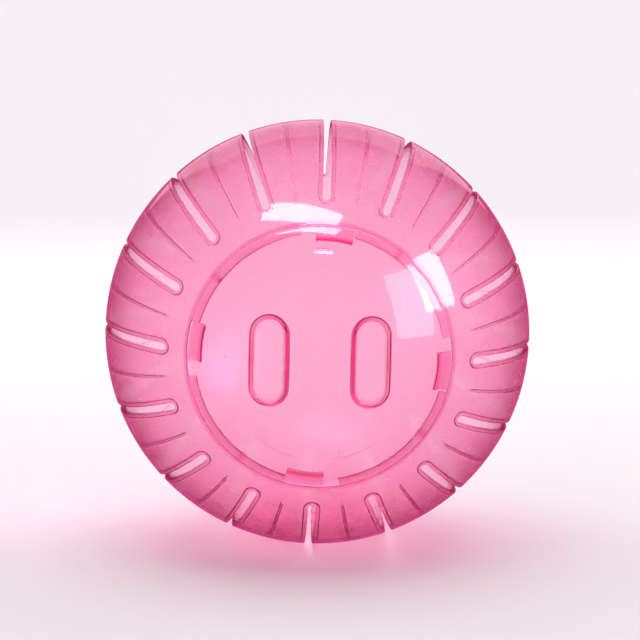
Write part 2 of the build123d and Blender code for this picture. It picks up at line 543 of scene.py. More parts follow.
class AxisRepeater:
    """Geometry Nodes tree that repeats a shape about the door axis."""

    INPUTS = (
        ("Geometry", "Geometry"),
        ("Count", "Int"),
        ("First Turn", "Float"),
        ("Weld Distance", "Float"),
    )

    def __init__(self) -> None:
        """Builds the tree."""
        self.tree = bpy.data.node_groups.new("RepeatAboutDoorAxis", "GeometryNodeTree")
        self.keys: dict[str, str] = {}
        for name, kind in self.INPUTS:
            self.keys[name] = self._socket(name, kind, "INPUT")
        self._socket("Geometry", "Geometry", "OUTPUT")
        self._wire()

    def _socket(self, name: str, kind: str, side: str) -> str:
        """Adds a socket to the tree's interface.

        Args:
            name: name of the socket.
            kind: what it carries.
            side: "INPUT" or "OUTPUT".

        Returns:
            The key that a modifier knows it by.
        """
        socket = self.tree.interface.new_socket(name, in_out=side, socket_type=f"NodeSocket{kind}")
        return socket.identifier

    def _wire(self) -> None:
        """Adds the tree's nodes and their links."""
        nodes, link = self.tree.nodes, self.tree.links.new
        source = nodes.new("NodeGroupInput")
        target = nodes.new("NodeGroupOutput")
        points = nodes.new("GeometryNodePoints")
        index = nodes.new("GeometryNodeInputIndex")
        pitch = self._math("DIVIDE")
        turn = self._math("MULTIPLY_ADD")
        euler = nodes.new("ShaderNodeCombineXYZ")
        rotation = nodes.new("FunctionNodeEulerToRotation")
        instances = nodes.new("GeometryNodeInstanceOnPoints")
        realize = nodes.new("GeometryNodeRealizeInstances")
        merge = nodes.new("GeometryNodeMergeByDistance")
        link(source.outputs["Count"], points.inputs["Count"])
        pitch.inputs[0].default_value = math.tau
        link(source.outputs["Count"], pitch.inputs[1])
        link(index.outputs[0], turn.inputs[0])
        link(pitch.outputs[0], turn.inputs[1])
        link(source.outputs["First Turn"], turn.inputs[2])
        link(turn.outputs[0], euler.inputs["Y"])
        link(euler.outputs[0], rotation.inputs[0])
        link(points.outputs[0], instances.inputs["Points"])
        link(source.outputs["Geometry"], instances.inputs["Instance"])
        link(rotation.outputs[0], instances.inputs["Rotation"])
        link(source.outputs["Weld Distance"], merge.inputs["Distance"])
        link(instances.outputs[0], realize.inputs["Geometry"])
        link(realize.outputs[0], merge.inputs["Geometry"])
        link(merge.outputs[0], target.inputs["Geometry"])

    def _math(self, operation: str) -> bpy.types.Node:
        """Adds a maths node.

        Args:
            operation: what the node works out.

        Returns:
            The node.
        """
        node = self.tree.nodes.new("ShaderNodeMath")
        node.operation = operation
        return node

    def repeat(self, piece: Piece, count: int, turn: float) -> None:
        """Repeats a piece's mesh evenly about the door axis.

        Args:
            piece: the piece, drawn straight up.
            count: how many there are in the full turn.
            turn: azimuth of the first one in degrees.
        """
        modifier = piece.modifiers.new("Repeat", "NODES")
        modifier.node_group = self.tree
        modifier[self.keys["Count"]] = count
        modifier[self.keys["First Turn"]] = math.radians(turn)
        modifier[self.keys["Weld Distance"]] = Workshop.WELD_DISTANCE
        Workshop.settle(piece)


@dataclass(frozen=True)
class SectorRow:
    """One profile across a slot's edge, from the middle of a land to the slot and back underneath.

    Up to NEAR_LIMIT from the slot's middle line it follows the slot, and past that the land.
    """

    sizes: BallSizes
    tilt: float
    reach: float
    settle: float
    edge_azimuth: float
    edge_reach: float
    ribbed: bool

    NEAR_LIMIT = 4.2

    def _scaled(self, reach: float, radius: float) -> float:
        """Moves a plan distance with the wall's depth, fully so at the parting line.

        Args:
            reach: distance from the door axis at the wall's outside.
            radius: radius at the wanted depth.

        Returns:
            The distance at that depth.
        """
        return reach * (1.0 + self.settle * (radius / self.sizes.outer - 1.0))

    def near(self, distance: float, radius: float) -> Plan:
        """Finds a point close to the slot.

        Args:
            distance: distance from the slot's middle line.
            radius: radius of the point.

        Returns:
            The point in plan.
        """
        lateral = distance * math.cos(self.tilt)
        spine = rise_on(self._scaled(self.reach, radius), lateral)
        return lateral, spine - distance * math.sin(self.tilt)

    def far(self, share: float, radius: float) -> Plan:
        """Finds a point on the land beside the slot.

        Args:
            share: 0 at the slot's lip, 1 at the sector's edge.
            radius: radius of the point.

        Returns:
            The point in plan.
        """
        lateral, out = self.near(self.NEAR_LIMIT, radius)
        start_reach, start_azimuth = math.hypot(lateral, out), math.atan2(lateral, out)
        reach = start_reach + (self._scaled(self.edge_reach, radius) - start_reach) * share
        azimuth = start_azimuth + (self.edge_azimuth - start_azimuth) * share
        return reach * math.sin(azimuth), reach * math.cos(azimuth)

    def land_length(self) -> float:
        """Measures the land from the slot's lip to the sector's edge.

        Returns:
            The length in plan.
        """
        return math.dist(self.far(0.0, self.sizes.inner), self.far(1.0, self.sizes.inner))


@dataclass(frozen=True)
class SlotSector(Moulding):
    """One slot of a half shell with half a land on either side, drawn with the slot straight up.

    RIB_FLANK is half the section of a tread rib, as shares of its half width and of its height.
    """

    half: Half

    SETTLE_SLOPE = 70.0
    LIP_ROUND = 0.38
    LAND_POINTS = 5
    RIB_FLANK = ((5 / 3, 0.0), (4 / 3, 0.08), (1.0, 0.42), (1 / 3, 0.9), (0.0, 1.0))

    def rows(self) -> list[SectorRow]:
        """Lists the profiles from the parting line up one side of the slot and down the other.

        Returns:
            The profiles in order.
        """
        s, f = self.sizes, self.fineness
        land_edge = math.radians(s.slot_pitch / 2)
        end_slope = math.asin(s.slot_end_centre / s.outer)
        seam_slope = math.acos(s.seam_gap / 2 / s.outer)
        settle_range = math.radians(self.SETTLE_SLOPE) - end_slope
        side = []
        for index in range(f.side_steps + 1):
            slope = seam_slope + (end_slope - seam_slope) * index / f.side_steps
            reach = s.outer * math.sin(slope)
            settle = eased((slope - end_slope) / settle_range)
            side.append(SectorRow(s, 0.0, reach, settle, land_edge, reach, True))
        fan = []
        for index in range(1, f.fan_steps):
            azimuth, reach = self._fan_edge(index, land_edge)
            tilt = math.pi * index / f.fan_steps
            fan.append(SectorRow(s, tilt, s.slot_end_centre, 0.0, azimuth, reach, False))
        mirrored = [replace(row, tilt=math.pi, edge_azimuth=-land_edge) for row in reversed(side)]
        return side + fan + mirrored

    def _fan_edge(self, index: int, land_edge: float) -> tuple[float, float]:
        """Finds where a profile of the slot's round end meets the sector's edge.

        Args:
            index: number of the profile, from one side of the slot to the other.
            land_edge: azimuth of the sector's right-hand edge in radians.

        Returns:
            Azimuth in radians and distance from the door axis.
        """
        s, corner = self.sizes, self.fineness.fan_steps // 4
        from_side = min(index, self.fineness.fan_steps - index)
        if from_side > corner:
            across = (index - corner) / self.fineness.sector_columns
            return land_edge * (1.0 - 2.0 * across), s.collar_edge
        reach = s.slot_end_centre + (s.collar_edge - s.slot_end_centre) * from_side / corner
        return (land_edge if index <= corner else -land_edge), reach

    def slot_section(self) -> list[Section]:
        """Draws the section of the slot's edge and lip, from the wall's outside to its inside.

        Returns:
            Points as distance from the slot's middle line and radius.
        """
        s, steps = self.sizes, self.fineness.round_steps
        edge, lip, small = s.edge_round, s.slot_width / 2 + s.lip_width, self.LIP_ROUND
        wall = s.slot_width / 2
        points: list[Section] = [((wall + lip) / 2 + small, s.outer), (wall + 2 * edge, s.outer)]
        points += round_corner((wall + edge, s.outer - edge), edge, 90, 90, steps)
        points.append((wall, s.mid_wall))
        points += round_corner((wall + small, s.lip_radius + small), small, 180, 90, steps)
        points.append(((wall + lip) / 2, s.lip_radius))
        points += round_corner((lip - small, s.lip_radius + small), small, 270, 90, steps)
        points += round_corner((lip + small, s.inner - small), small, 180, -90, steps)
        return points

    def _under_land(self, row: SectorRow) -> list[Section]:
        """Draws the inside of the land with its half of a tread rib.

        Args:
            row: the profile that it belongs to.

        Returns:
            Points as share of the land and radius.
        """
        s, rib = self.sizes, self.sizes.tread_height if row.ribbed else 0.0
        half_rib, length = s.tread_width / 2, row.land_length()
        points: list[Section] = [(step / self.LAND_POINTS, s.inner) for step in range(self.LAND_POINTS)]
        for off, height in self.RIB_FLANK:
            points.append((1.0 - half_rib * off / length, s.inner - rib * height))
        return points

    def draft(self) -> MeshDraft:
        """Draws the sector.

        Returns:
            Its draft, open along the edges that it shares with its neighbours.
        """
        s, f, draft = self.sizes, self.fineness, MeshDraft()
        section = self.slot_section()
        numbers = []
        for row in self.rows():
            plans: list[tuple[Plan, float]] = []
            for step in range(f.land_steps, -1, -1):
                plans.append((row.far(step / f.land_steps, s.outer), s.outer))
            plans += [(row.near(distance, radius), radius) for distance, radius in section]
            plans += [(row.far(share, radius), radius) for share, radius in self._under_land(row)]
            points = []
            for (lateral, out), radius in plans:
                axial = self.half.value * rise_on(radius, math.hypot(lateral, out))
                points.append(ball_point(lateral, out, axial))
            numbers.append(draft.row(points))
        draft.bridge(numbers)
        draft.cap(numbers[0])
        draft.cap(numbers[-1])
        return draft


class DoorCollar(Moulding):
    """Rim of the door opening: collar, notched ledge and twist stops."""

    def section(self, ledge: Ledge) -> list[Section]:
        """Draws the section of the rim from the wall's outside to its inside.

        Args:
            ledge: what stands there.

        Returns:
            Points as distance from the door axis and radius, as many for each kind of ledge.
        """
        s, steps, edge = self.sizes, self.fineness.round_steps, self.sizes.edge_round
        mouth = s.opening
        low = s.lug_underside if ledge is Ledge.STOP else s.ledge_underside
        middle = (mouth + s.ledge_edge) / 2
        top = s.ledge_top
        rim: list[Section] = [(s.collar_edge, s.outer), ((s.collar_edge + mouth) / 2, s.outer)]
        rim += round_corner((mouth + edge, s.outer - edge), edge, 90, 90, steps)
        tongue = soft_corner((mouth, top + edge), (mouth, top), (mouth - edge, top), steps)
        tongue.append((middle, top))
        tongue += round_corner((s.ledge_edge + edge, top - edge), edge, 90, 90, steps)
        tongue += round_corner((s.ledge_edge + edge, low + edge), edge, 180, 90, steps)
        tongue += [(middle, low), (mouth, low)]
        if ledge is Ledge.NOTCH:
            first, last = tongue[0][1], low
            count = len(tongue) - 1
            tongue = [(mouth, first + (last - first) * index / count) for index in range(count + 1)]
        under: list[Section] = [(mouth, s.ledge_underside)]
        under += round_corner((s.collar_edge - edge, s.ledge_underside + edge), edge, 270, 90, steps)
        return rim + tongue + under + [(s.collar_edge, s.inner)]

    def ledge_at(self, azimuth: float) -> Ledge:
        """Tells what stands on the inside of the opening at an azimuth.

        Args:
            azimuth: azimuth in degrees.

        Returns:
            The kind of ledge.
        """
        s = self.sizes
        pitch = 360.0 / s.lug_count
        from_lug = (azimuth - s.lug_turn + pitch / 2) % pitch - pitch / 2
        half_lug = s.lug_arc / 2
        if -half_lug - s.notch_spare <= from_lug <= half_lug + s.notch_lead:
            return Ledge.NOTCH
        stop = half_lug + s.lock_turn + s.stop_clearance
        if stop <= from_lug <= stop + s.stop_arc:
            return Ledge.STOP
        return Ledge.PLAIN

    def draft(self) -> MeshDraft:
        """Draws the rim.

        Returns:
            Its draft, open where it joins the slotted wall.
        """
        s, draft = self.sizes, MeshDraft()
        columns = s.slot_count * self.fineness.sector_columns
        width = 360.0 / columns
        first = s.slot_turn - s.slot_pitch / 2
        numbers = []
        for column in range(columns):
            start = first + column * width
            section = lifted(self.section(self.ledge_at(start + width / 2)))
            numbers += [draft.row(spun(section, azimuth)) for azimuth in (start, start + width)]
        draft.bridge(numbers, closed=True)
        return draft


class PoleCap(Moulding):
    """Closed pole of the rear half, with the ring that the moulding gate leaves.

    GROOVE is the section of the ring, as shares of its bead's radius and of its depth.
    """

    GROOVE_MARGIN = 3
    GROOVE = ((1.0, 0.0), (0.5, 0.7), (0.0, 1.0), (-0.5, 0.7), (-1.0, 0.0))

    def _profile(self, radius: float, groove: float) -> list[Section]:
        """Draws one face of the cap from its edge to the pole.

        Args:
            radius: radius of the face.
            groove: depth of the gate ring's groove.

        Returns:
            Points as distance from the door axis and radius.
        """
        s, rows = self.sizes, self.fineness.cap_rows
        flat_edge = s.gate_radius + self.GROOVE_MARGIN * s.gate_bead
        points = []
        for row in range(rows + 1):
            reach = s.collar_edge + (flat_edge - s.collar_edge) * row / rows
            points.append((reach, radius))
        for off, share in self.GROOVE:
            points.append((s.gate_radius + off * s.gate_bead, radius - groove * share))
        points.append((0.0, radius))
        return points

    def draft(self) -> MeshDraft:
        """Draws the cap.

        Returns:
            Its draft, open where it joins the slotted wall.
        """
        s, draft = self.sizes, MeshDraft()
        columns = s.slot_count * self.fineness.sector_columns
        first = s.slot_turn - s.slot_pitch / 2
        azimuths = [first + 360.0 * column / columns for column in range(columns)]
        for radius, groove in ((s.outer, s.gate_bead), (s.inner, 0.0)):
            section = lifted(self._profile(radius, groove), Half.REAR.value)
            draft.bridge([draft.row(spun(section, azimuth)) for azimuth in azimuths], closed=True)
        return draft


@dataclass(frozen=True)
class WellRow:
    """One profile across the edge of a finger well, from its middle line to the door's edge."""

    sizes: BallSizes
    middle: Plan
    heading: Plan
    edge: Plan

    FLOOR_BEND = 0.9
    MOUTH_BEND = 0.5
    LAND_START = 1.2
    FLOOR_SHARES = (0.0, 0.25, 0.5)
    MOUTH_ROUNDS = 12

    def plan(self, distance: float) -> Plan:
        """Finds a plan point at a distance from the well's middle line.

        Args:
            distance: the distance.

        Returns:
            The point in plan.
        """
        return self.middle[0] + distance * self.heading[0], self.middle[1] + distance * self.heading[1]

    def _surface(self, distance: float, radius: float) -> float:
        """Finds the height of a sphere at a distance from the well's middle line.

        Args:
            distance: the distance.
            radius: radius of the sphere.

        Returns:
            The height over the parting plane.
        """
        return rise_on(radius, math.hypot(*self.plan(distance)))

    def profile(self, radius: float, grown: float, steps: int) -> tuple[list[Section], float]:
        """Draws the well's floor, drafted wall and mouth on one face of the door.

        Args:
            radius: radius of that face.
            grown: how far the face lies outside the well.
            steps: steps of each rounded corner.

        Returns:
            Points as distance from the middle line and height, and the distance where the land starts.
        """
        s, draft = self.sizes, math.radians(self.sizes.well_draft)
        floor = rise_on(s.outer, s.well_spacing / 2) - s.well_depth - grown
        foot = s.well_floor_width / 2 + grown
        mouth = foot
        for _ in range(self.MOUTH_ROUNDS):
            mouth = foot + (self._surface(mouth, radius) - floor) * math.tan(draft)
        along = (math.sin(draft), math.cos(draft))
        bend, lip = self.FLOOR_BEND, self.MOUTH_BEND
        points: list[Section] = [(foot * share, floor) for share in self.FLOOR_SHARES]
        points += soft_corner(
            (foot - bend, floor), (foot, floor), (foot + bend * along[0], floor + bend * along[1]), steps
        )
        top = self._surface(mouth, radius)
        low = (mouth - lip * along[0], top - lip * along[1])
        points.append(((points[-1][0] + low[0]) / 2, (points[-1][1] + low[1]) / 2))
        points += soft_corner(low, (mouth, top), (mouth + lip, self._surface(mouth + lip, radius)), steps)
        return points, mouth + self.LAND_START

    def points(self, radius: float, grown: float, fineness: Fineness) -> list[tuple[float, float, float]]:
        """Draws the whole profile on one face of the door.

        Args:
            radius: radius of that face.
            grown: how far the face lies outside the well.
            fineness: steps of the mesh.

        Returns:
            Points as lateral, out and axial distances.
        """
        section, start = self.profile(radius, grown, fineness.round_steps + 1)
        line = [(*self.plan(distance), height) for distance, height in section]
        begin = self.plan(start)
        for step in range(fineness.door_land_steps + 1):
            share = step / fineness.door_land_steps
            lateral = begin[0] + (self.edge[0] - begin[0]) * share
            out = begin[1] + (self.edge[1] - begin[1]) * share
            line.append((lateral, out, rise_on(radius, math.hypot(lateral, out))))
        return line


class TwistDoor(Moulding):
    """Door: dome with two finger wells, bayonet hooks, gate ring, index mark and turning arrows."""

    @property
    def arc_steps(self) -> int:
        """Steps of the rim along one half of the door."""
        return self.fineness.well_side_steps + 2 * self.fineness.well_corner

    def _rows(self) -> list[WellRow]:
        """Lists the profiles round the right-hand well.

        Returns:
            The profiles, from the lower end of its right-hand side round to the start again.
        """
        s, f = self.sizes, self.fineness
        straight = (s.well_floor_length - s.well_floor_width) / 2
        centre = s.well_spacing / 2
        total = 2 * (f.well_side_steps + f.well_end_steps)
        rows = []
        for index in range(-f.well_corner, total - f.well_corner + 1):
            half, along = divmod(index, total // 2)
            sign = -1.0 if half % 2 else 1.0
            end_share = max(0, along - f.well_side_steps) / f.well_end_steps
            side_share = min(1.0, along / f.well_side_steps)
            angle = math.pi * end_share
            middle = (centre, sign * straight * (2.0 * side_share - 1.0))
            heading = (sign * math.cos(angle), sign * math.sin(angle))
            rows.append(WellRow(s, middle, heading, self._edge(index + f.well_corner, total)))
        return rows

    def _edge(self, index: int, total: int) -> Plan:
        """Finds where a profile meets the edge of the door's right-hand half.

        Args:
            index: number of the profile, counted from the lower end of the middle line.
            total: number of profiles in the round.

        Returns:
            The point in plan, on the rim or on the middle line.
        """
        reach = self.sizes.door_edge - self.sizes.edge_round
        if index <= self.arc_steps:
            angle = math.pi * (index / self.arc_steps - 0.5)
            return reach * math.cos(angle), reach * math.sin(angle)
        share = (index - self.arc_steps) / (total - self.arc_steps)
        return 0.0, reach * (1.0 - 2.0 * share)

    def _rim_section(self) -> list[Section]:
        """Draws the section of the door's rim.

        Returns:
            Points as distance from the door axis and radius.
        """
        s, edge, steps = self.sizes, self.sizes.edge_round, self.fineness.round_steps
        inside = s.door_edge - edge
        outer = round_corner((inside, s.outer - edge), edge, 90, -90, steps)
        return outer + round_corner((inside, s.inner + edge), edge, 0, -90, steps)

    def dome(self) -> MeshDraft:
        """Draws the dome with its two wells.

        Returns:
            Its closed draft.
        """
        s, f, draft = self.sizes, self.fineness, MeshDraft()
        rows = self._rows()
        for side in (1.0, -1.0):
            for radius, grown in ((s.outer, 0.0), (s.inner, s.well_wall)):
                numbers = []
                for row in rows:
                    line = row.points(radius, grown, f)
                    numbers.append(draft.row([self._turned(side * x, y, z) for x, y, z in line]))
                draft.bridge(numbers)
            rim = []
            for row in rows[: self.arc_steps + 1]:
                angle = math.atan2(row.edge[0], row.edge[1])
                points = []
                for reach, radius in self._rim_section():
                    lateral, out = reach * math.sin(angle), reach * math.cos(angle)
                    points.append(self._turned(side * lateral, out, rise_on(radius, reach)))
                rim.append(draft.row(points))
            draft.bridge(rim)
        return draft

    def _turned(self, lateral: float, out: float, axial: float) -> Vector:
        """Puts a point of the door into the ball's frame, with the turn of the wells.

        Args:
            lateral: distance to the right.
            out: distance up.
            axial: distance from the parting plane.

        Returns:
            The point in millimetres.
        """
        return ball_point(*turned_plan((lateral, out), self.sizes.well_turn), axial)

    def hook(self) -> MeshDraft:
        """Draws one bayonet hook, straight up.

        Returns:
            Its closed draft.
        """
        s, edge, steps = self.sizes, self.sizes.edge_round, self.fineness.round_steps
        outline: list[Section] = [(s.stem_inside, s.mid_wall), (s.stem_outside, s.mid_wall)]
        corner = (s.stem_outside, s.lug_top)
        outline += soft_corner((corner[0], corner[1] + edge), corner, (corner[0] + edge, corner[1]), steps)
        outline += round_corner((s.lug_edge - edge, s.lug_top - edge), edge, 90, -90, steps)
        outline += round_corner((s.lug_edge - edge, s.lug_underside + edge), edge, 0, -90, steps)
        outline += round_corner((s.stem_inside + edge, s.lug_underside + edge), edge, 270, -90, steps)
        return swept_arc(lifted(outline), s.lug_arc, 0.0, self.fineness.arc_steps)

    def gate_ring(self) -> MeshDraft:
        """Draws the ring that the moulding gate leaves at the pole.

        Returns:
            Its closed draft.
        """
        s, f, draft = self.sizes, self.fineness, MeshDraft()
        level = rise_on(s.outer, s.gate_radius)
        bead = round_corner((s.gate_radius, level), s.gate_bead, 0, 360, f.bead_steps)[:-1]
        rows = []
        for step in range(f.ring_steps):
            numbers = draft.row(spun(bead, 360.0 * step / f.ring_steps))
            rows.append(numbers + numbers[:1])
        draft.bridge(rows, closed=True)
        return draft

    def marks(self) -> list[MeshDraft]:
        """Draws the index mark and the turning arrows.

        Returns:
            One closed draft for each raised shape.
        """
        s = self.sizes
        base = s.index_distance + s.index_width / 2 + s.pointer_gap
        half_bar, half_point = s.index_length / 2, s.pointer_width / 2
        low, high = s.index_distance - s.index_width / 2, s.index_distance + s.index_width / 2
        bar = [(-half_bar, low), (half_bar, low), (half_bar, high), (-half_bar, high)]
        pointer = [(-half_point, base), (half_point, base), (0.0, base + s.pointer_height)]
        drafts = [
            self._raised(bar, s.index_turn, s.index_distance),
            self._raised(pointer, s.index_turn, base + s.pointer_height / 2),
        ]
        half_width, half_head = s.arrow_width / 2, s.arrow_head_width / 2
        near, far = s.arrow_distance - half_width, s.arrow_distance + half_width
        shaft = [
            (near, s.mid_wall),
            (far, s.mid_wall),
            (far, s.outer + s.mark_height),
            (near, s.outer + s.mark_height),
        ]
        head = [
            (-half_width, s.arrow_distance - half_head),
            (s.arrow_head_length, s.arrow_distance),
            (-half_width, s.arrow_distance + half_head),
        ]
        for azimuth in s.arrow_azimuths:
            drafts.append(swept_arc(lifted(shaft), s.arrow_arc, azimuth, self.fineness.arc_steps))
            drafts.append(self._raised(head, azimuth + s.arrow_arc / 2))
        return drafts

    def _raised(
        self, outline: Sequence[Plan], azimuth: float, middle: float | None = None
    ) -> MeshDraft:
        """Draws a raised mark over a flat outline.

        Args:
            outline: corners of the outline, drawn straight up.
            azimuth: where it is turned to, in degrees.
            middle: distance from the door axis of the middle of a flat top that leans outwards;
                without it the top follows the door.

        Returns:
            Its closed draft.
        """
        s, draft = self.sizes, MeshDraft()
        top_radius = s.outer + s.mark_height
        base, top = [], []
        for lateral, out in outline:
            distance = math.hypot(lateral, out)
            place = turned_plan((lateral, out), azimuth)
            height = rise_on(top_radius, distance)
            if middle is not None:
                lean = math.asin(middle / s.outer) + math.radians(s.index_lean)
                height = rise_on(top_radius, middle) - (out - middle) * math.tan(lean)
            base.append(ball_point(*place, rise_on(s.mid_wall, distance)))
            top.append(ball_point(*place, height))
        draft.sweep([base, top])
        return draft


def swept_arc(section: Sequence[Section], arc: float, azimuth: float, steps: int) -> MeshDraft:
    """Sweeps a closed section about the door axis.

    Args:
        section: points as distance from the door axis and axial distance.
        arc: angle that it is swept through, in degrees.
        azimuth: azimuth of the middle of the sweep.
        steps: steps along it.

    Returns:
        The closed draft.
    """
    draft = MeshDraft()
    turns = [azimuth + arc * (step / steps - 0.5) for step in range(steps + 1)]
    draft.sweep([spun(section, turn) for turn in turns])
    return draft


class RearTongue(Moulding):
    """One of the rear half's tongues, which push into the front half.

    ROOT_SHARE is the share of the wall that its root is sunk into.
    """

    ROOT_SHARE = 0.25

    def first_azimuth(self) -> float:
        """Finds the azimuth of the first tongue, halfway between a slot's lip and a tread rib.

        Returns:
            The azimuth in degrees.
        """
        s = self.sizes
        lip_arc = math.degrees((s.slot_width / 2 + s.lip_width) / s.inner)
        tread_arc = math.degrees(s.tread_width / 2 / s.inner)
        return s.slot_turn + (lip_arc + s.slot_pitch / 2 - tread_arc) / 2

    def draft(self) -> MeshDraft:
        """Draws the tongue, straight up.

        Returns:
            Its closed draft.
        """
        s = self.sizes
        outside = rise_on(s.inner, s.tongue_reach) - s.tongue_clearance
        inside = outside - s.tongue_thickness
        root, seam = s.inner + s.wall * self.ROOT_SHARE, s.seam_gap / 2
        outline = [
            (inside, -s.tongue_root),
            (root, -s.tongue_root),
            (root, -seam),
            (outside, -seam),
            (outside, s.tongue_reach - s.tongue_lead_in),
            (outside - s.tongue_lead_in, s.tongue_reach),
            (inside, s.tongue_reach),
        ]
        arc = math.degrees(s.tongue_width / outside)
        return swept_arc(outline, arc, 0.0, self.fineness.arc_steps)


@dataclass(frozen=True)
class PlasticLook:
    """Colour and finish of one translucent moulding."""

    name: str
    absorbed: Colour
    density: float
    tint: Colour
    tint_deep: Colour
    polish: float
    matt: float
    ior: float = 1.3


@dataclass(frozen=True)
class Texture:
    """A noise in waves per metre with finer layers, and the bump that it makes, its depth in metres."""

    scale: float
    detail: float
    bump: float = 0.0
    depth: float = 0.0
    stretch: tuple[float, float, float] | None = None


class NodeBench:
    """Short ways to add nodes to a material."""

    def __init__(self, material: Material) -> None:
        """Empties a material's node tree.

        Args:
            material: the material.
        """
        material.use_nodes = True
        self.tree = material.node_tree
        self.tree.nodes.clear()
        self.output = self.tree.nodes.new("ShaderNodeOutputMaterial")
        self.place = self.tree.nodes.new("ShaderNodeTexCoord").outputs["Object"]

    def node(self, kind: str, **settings: object) -> bpy.types.Node:
        """Adds a node.

        Args:
            kind: type of the node.
            settings: its own settings, or values of its inputs by their names.

        Returns:
            The node.
        """
        node = self.tree.nodes.new(kind)
        for key, value in settings.items():
            name = key.replace("_", " ").title()
            if hasattr(node, key):
                setattr(node, key, value)
            else:
                node.inputs[name].default_value = value
        return node

    def link(self, source: Socket, target: Socket) -> None:
        """Links two sockets.

        Args:
            source: output socket.
            target: input socket.
        """
        self.tree.links.new(source, target)

    def noise(self, texture: Texture) -> Socket:
        """Adds a noise over the object's own place.

        Args:
            texture: the texture that it belongs to.

        Returns:
            The noise's value.
        """
        place = self.place
        if texture.stretch is not None:
            mapping = self.node("ShaderNodeMapping")
            mapping.inputs["Scale"].default_value = texture.stretch
            self.link(place, mapping.inputs["Vector"])
            place = mapping.outputs["Vector"]
        noise = self.node("ShaderNodeTexNoise", scale=texture.scale, detail=texture.detail)
        self.link(place, noise.inputs["Vector"])
        return noise.outputs["Fac"]

    def ranged(self, value: Socket, low: Section, high: Section) -> Socket:
        """Maps a value from one range to another.

        Args:
            value: the value.
            low: a value and what it becomes.
            high: another value and what it becomes.

        Returns:
            The mapped value.
        """
        node = self.node("ShaderNodeMapRange")
        node.inputs["From Min"].default_value, node.inputs["To Min"].default_value = low
        node.inputs["From Max"].default_value, node.inputs["To Max"].default_value = high
        self.link(value, node.inputs["Value"])
        return node.outputs["Result"]

    def added(self, first: Socket, second: Socket) -> Socket:
        """Adds two values.

        Args:
            first: one value.
            second: the other.

        Returns:
            Their sum.
        """
        node = self.node("ShaderNodeMath", operation="ADD")
        self.link(first, node.inputs[0])
        self.link(second, node.inputs[1])
        return node.outputs[0]

    def depth(self) -> Socket:
        """Measures how far a point is from the ball's centre.

        Returns:
            The distance in metres.
        """
        node = self.node("ShaderNodeVectorMath", operation="LENGTH")
        self.link(self.place, node.inputs[0])
        return node.outputs["Value"]

    def chosen(self, share: Socket, first: Socket, second: Socket) -> Socket:
        """Mixes two values.

        Args:
            share: share of the second value.
            first: first value.
            second: second value.

        Returns:
            The mixed value.
        """
        node = self.node("ShaderNodeMix", data_type="FLOAT")
        self.link(share, node.inputs[0])
        self.link(first, node.inputs[2])
        self.link(second, node.inputs[3])
        return node.outputs[0]

    def blended(self, share: Socket, first: Colour, second: Colour) -> Socket:
        """Mixes two colours.

        Args:
            share: share of the second colour.
            first: first colour.
            second: second colour.

        Returns:
            The mixed colour.
        """
        node = self.node("ShaderNodeMix", data_type="RGBA")
        node.inputs[6].default_value = (*first, 1.0)
        node.inputs[7].default_value = (*second, 1.0)
        self.link(share, node.inputs[0])
        return node.outputs[2]

    def bumped(self, height: Socket, texture: Texture, after: Socket | None = None) -> Socket:
        """Adds a bump.

        Args:
            height: height of the bump.
            texture: the texture that it belongs to.
            after: normal that it is added to.

        Returns:
            The bumped normal.
        """
        node = self.node("ShaderNodeBump", strength=texture.bump, distance=texture.depth)
        self.link(height, node.inputs["Height"])
        if after is not None:
            self.link(after, node.inputs["Normal"])
        return node.outputs["Normal"]


